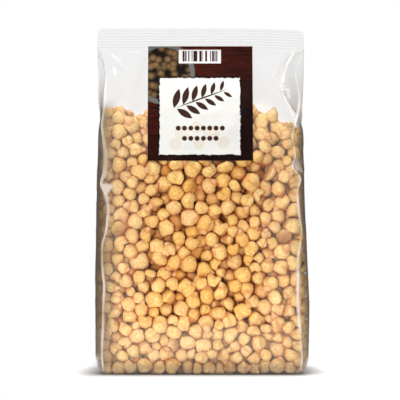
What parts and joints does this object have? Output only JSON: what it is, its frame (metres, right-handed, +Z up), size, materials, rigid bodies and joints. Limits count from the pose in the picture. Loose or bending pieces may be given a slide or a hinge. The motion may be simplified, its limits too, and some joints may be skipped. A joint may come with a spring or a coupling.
{
  "type": "bag of roasted chickpeas",
  "caption": "Clear film bag of beige chickpeas, standing on a flat base, with opened side gussets, an empty folded-in top, a ribbed heat seal and a printed front label.",
  "frame": {"origin": "middle of the flat base that the bag stands on", "axes": "+Z up to the heat seal; -Y out of the front panel that carries the label; +X to the right as seen from the front"},
  "size_m": [0.1582, 0.0542, 0.254],
  "materials": {
    "chickpeas": "satin",
    "film": "gloss",
    "label": "satin"
  },
  "bodies": {
    "root": {"bag": "chickpeas", "label": "label"}
  },
  "joints": []
}
